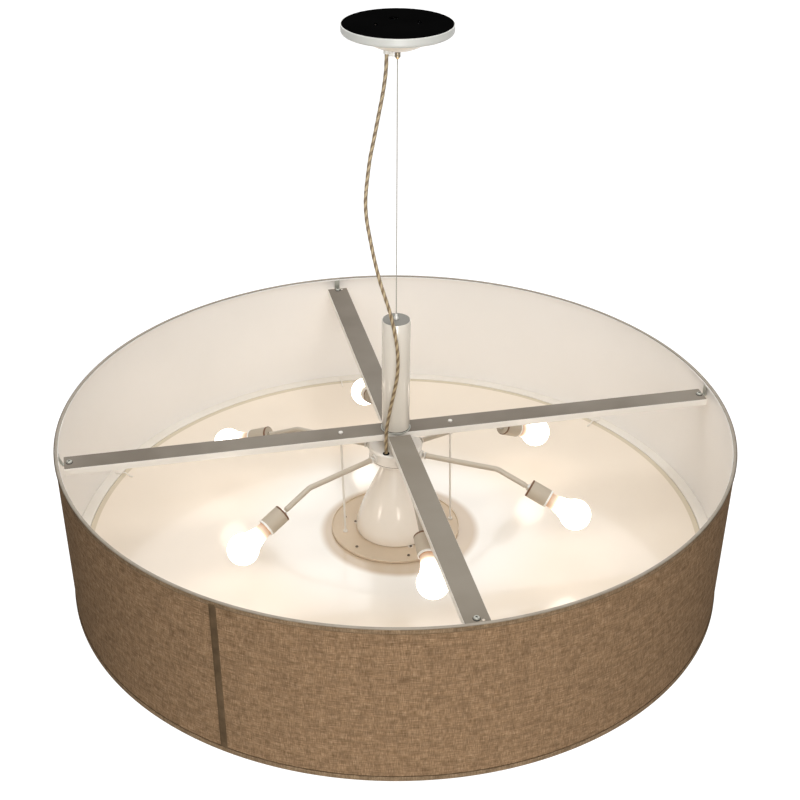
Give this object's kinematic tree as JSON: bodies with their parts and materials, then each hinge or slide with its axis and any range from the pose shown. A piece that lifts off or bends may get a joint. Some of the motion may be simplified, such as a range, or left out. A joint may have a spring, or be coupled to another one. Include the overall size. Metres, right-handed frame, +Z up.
{
  "type": "drum pendant light",
  "caption": "Wide fabric drum shade hung on one steel wire, with a ring of bulbs on a central hub over a round diffuser.",
  "frame": {"origin": "centre of the ceiling face of the mounting plate", "axes": "+Z up to the ceiling, +X along the long bar of the shade's cross"},
  "size_m": [1.2224, 1.2224, 1.0278],
  "materials": {
    "black_steel": "matt black",
    "zinc_steel": "zinc plated",
    "wire_steel": "stranded",
    "black_plastic": "matt",
    "black_rubber": "matt",
    "white_paint": "satin",
    "gloss_white": "gloss",
    "cream_paint": "satin",
    "satin_grey": "satin",
    "cream_plastic": "satin",
    "white_nylon": "satin",
    "nickel": "polished",
    "brass": "satin",
    "clear_cord": "clear jacket",
    "linen": "woven",
    "shade_lining": "matt film",
    "trim_tape": "folded tape",
    "ledge_cover": "glued cloth",
    "acrylic": "opal gloss",
    "bulb_glass": "opal coated glass"
  },
  "bodies": {
    "ceiling": {"mounting_plate": "black_steel", "hanging_coupler": "zinc_steel", "terminal_block": "black_plastic", "canopy_pan": "white_paint", "gripper_body": "nickel", "strain_relief": "white_nylon", "canopy_lead": "clear_cord", "power_cord_upper": "clear_cord"},
    "release_nose": {"gripper_nose": "brass"},
    "wire": {"suspension_wire": "wire_steel", "wire_swivel": "wire_steel"},
    "lamp": {"column_tube": "white_paint", "column_cap": "satin_grey", "column_flange": "black_plastic", "long_bar": "satin_grey", "cross_bar_front": "satin_grey", "cross_bar_back": "satin_grey", "joint_plate": "zinc_steel", "hub_stem": "zinc_steel", "stem_nut": "zinc_steel", "hub_lid": "white_paint", "hub_body": "white_paint", "hub_grommet": "black_rubber", "cone": "gloss_white", "centre_plate": "cream_paint", "support_rod_left": "cream_paint", "support_rod_right": "cream_paint", "shade_fabric": "linen", "shade_liner": "shade_lining", "shade_top_frame": "white_paint", "shade_bottom_ring": "white_paint", "shade_top_trim": "trim_tape", "shade_bottom_trim": "trim_tape", "diffuser_ledge": "ledge_cover", "diffuser_disc": "acrylic", "diffuser_clip_1": "brass", "diffuser_clip_2": "brass", "diffuser_clip_3": "brass", "diffuser_clip_4": "brass", "diffuser_clip_5": "brass", "diffuser_clip_6": "brass", "arm_1": "white_paint", "arm_2": "white_paint", "arm_3": "white_paint", "arm_4": "white_paint", "arm_5": "white_paint", "arm_6": "white_paint", "socket_1": "cream_plastic", "socket_2": "cream_plastic", "socket_3": "cream_plastic", "socket_4": "cream_plastic", "socket_5": "cream_plastic", "socket_6": "cream_plastic", "power_cord_lower": "clear_cord"},
    "lamp_bulb_1": {"bulb_1": "bulb_glass"},
    "lamp_bulb_2": {"bulb_2": "bulb_glass"},
    "lamp_bulb_3": {"bulb_3": "bulb_glass"},
    "lamp_bulb_4": {"bulb_4": "bulb_glass"},
    "lamp_bulb_5": {"bulb_5": "bulb_glass"},
    "lamp_bulb_6": {"bulb_6": "bulb_glass"}
  },
  "joints": [
    {"name": "gripper_release", "type": "slide", "parent": "ceiling", "child": "release_nose", "axis": [0, 0, 1], "range_m": [0, 0.0018], "stiffness_N_per_m": 250, "springref_m": -0.002},
    {"name": "wire_swing", "type": "hinge", "parent": "ceiling", "child": "wire", "pos_m": [0, 0, -0.0577], "axis": [0, 1, 0], "range_deg": [-15, 15], "deforming": ["power_cord_upper", "power_cord_lower"]},
    {"name": "lamp_twist", "type": "hinge", "parent": "wire", "child": "lamp", "pos_m": [0, 0, -0.5211], "axis": [0, 0, 1], "range_deg": [-45, 45], "deforming": ["power_cord_upper", "power_cord_lower"]},
    {"name": "bulb_removal_1", "type": "slide", "parent": "lamp", "child": "lamp_bulb_1", "axis": [0.8244, 0.3482, -0.4462], "range_m": [0, 0.03]},
    {"name": "bulb_removal_2", "type": "slide", "parent": "lamp", "child": "lamp_bulb_2", "axis": [0.0254, 0.9103, -0.4131], "range_m": [0, 0.03]},
    {"name": "bulb_removal_3", "type": "slide", "parent": "lamp", "child": "lamp_bulb_3", "axis": [-0.7761, 0.4963, -0.3891], "range_m": [0, 0.03]},
    {"name": "bulb_removal_4", "type": "slide", "parent": "lamp", "child": "lamp_bulb_4", "axis": [-0.8082, -0.4118, -0.421], "range_m": [0, 0.03]},
    {"name": "bulb_removal_5", "type": "slide", "parent": "lamp", "child": "lamp_bulb_5", "axis": [-0.0311, -0.9368, -0.3486], "range_m": [0, 0.03]},
    {"name": "bulb_removal_6", "type": "slide", "parent": "lamp", "child": "lamp_bulb_6", "axis": [0.7737, -0.4986, -0.3907], "range_m": [0, 0.03]}
  ]
}
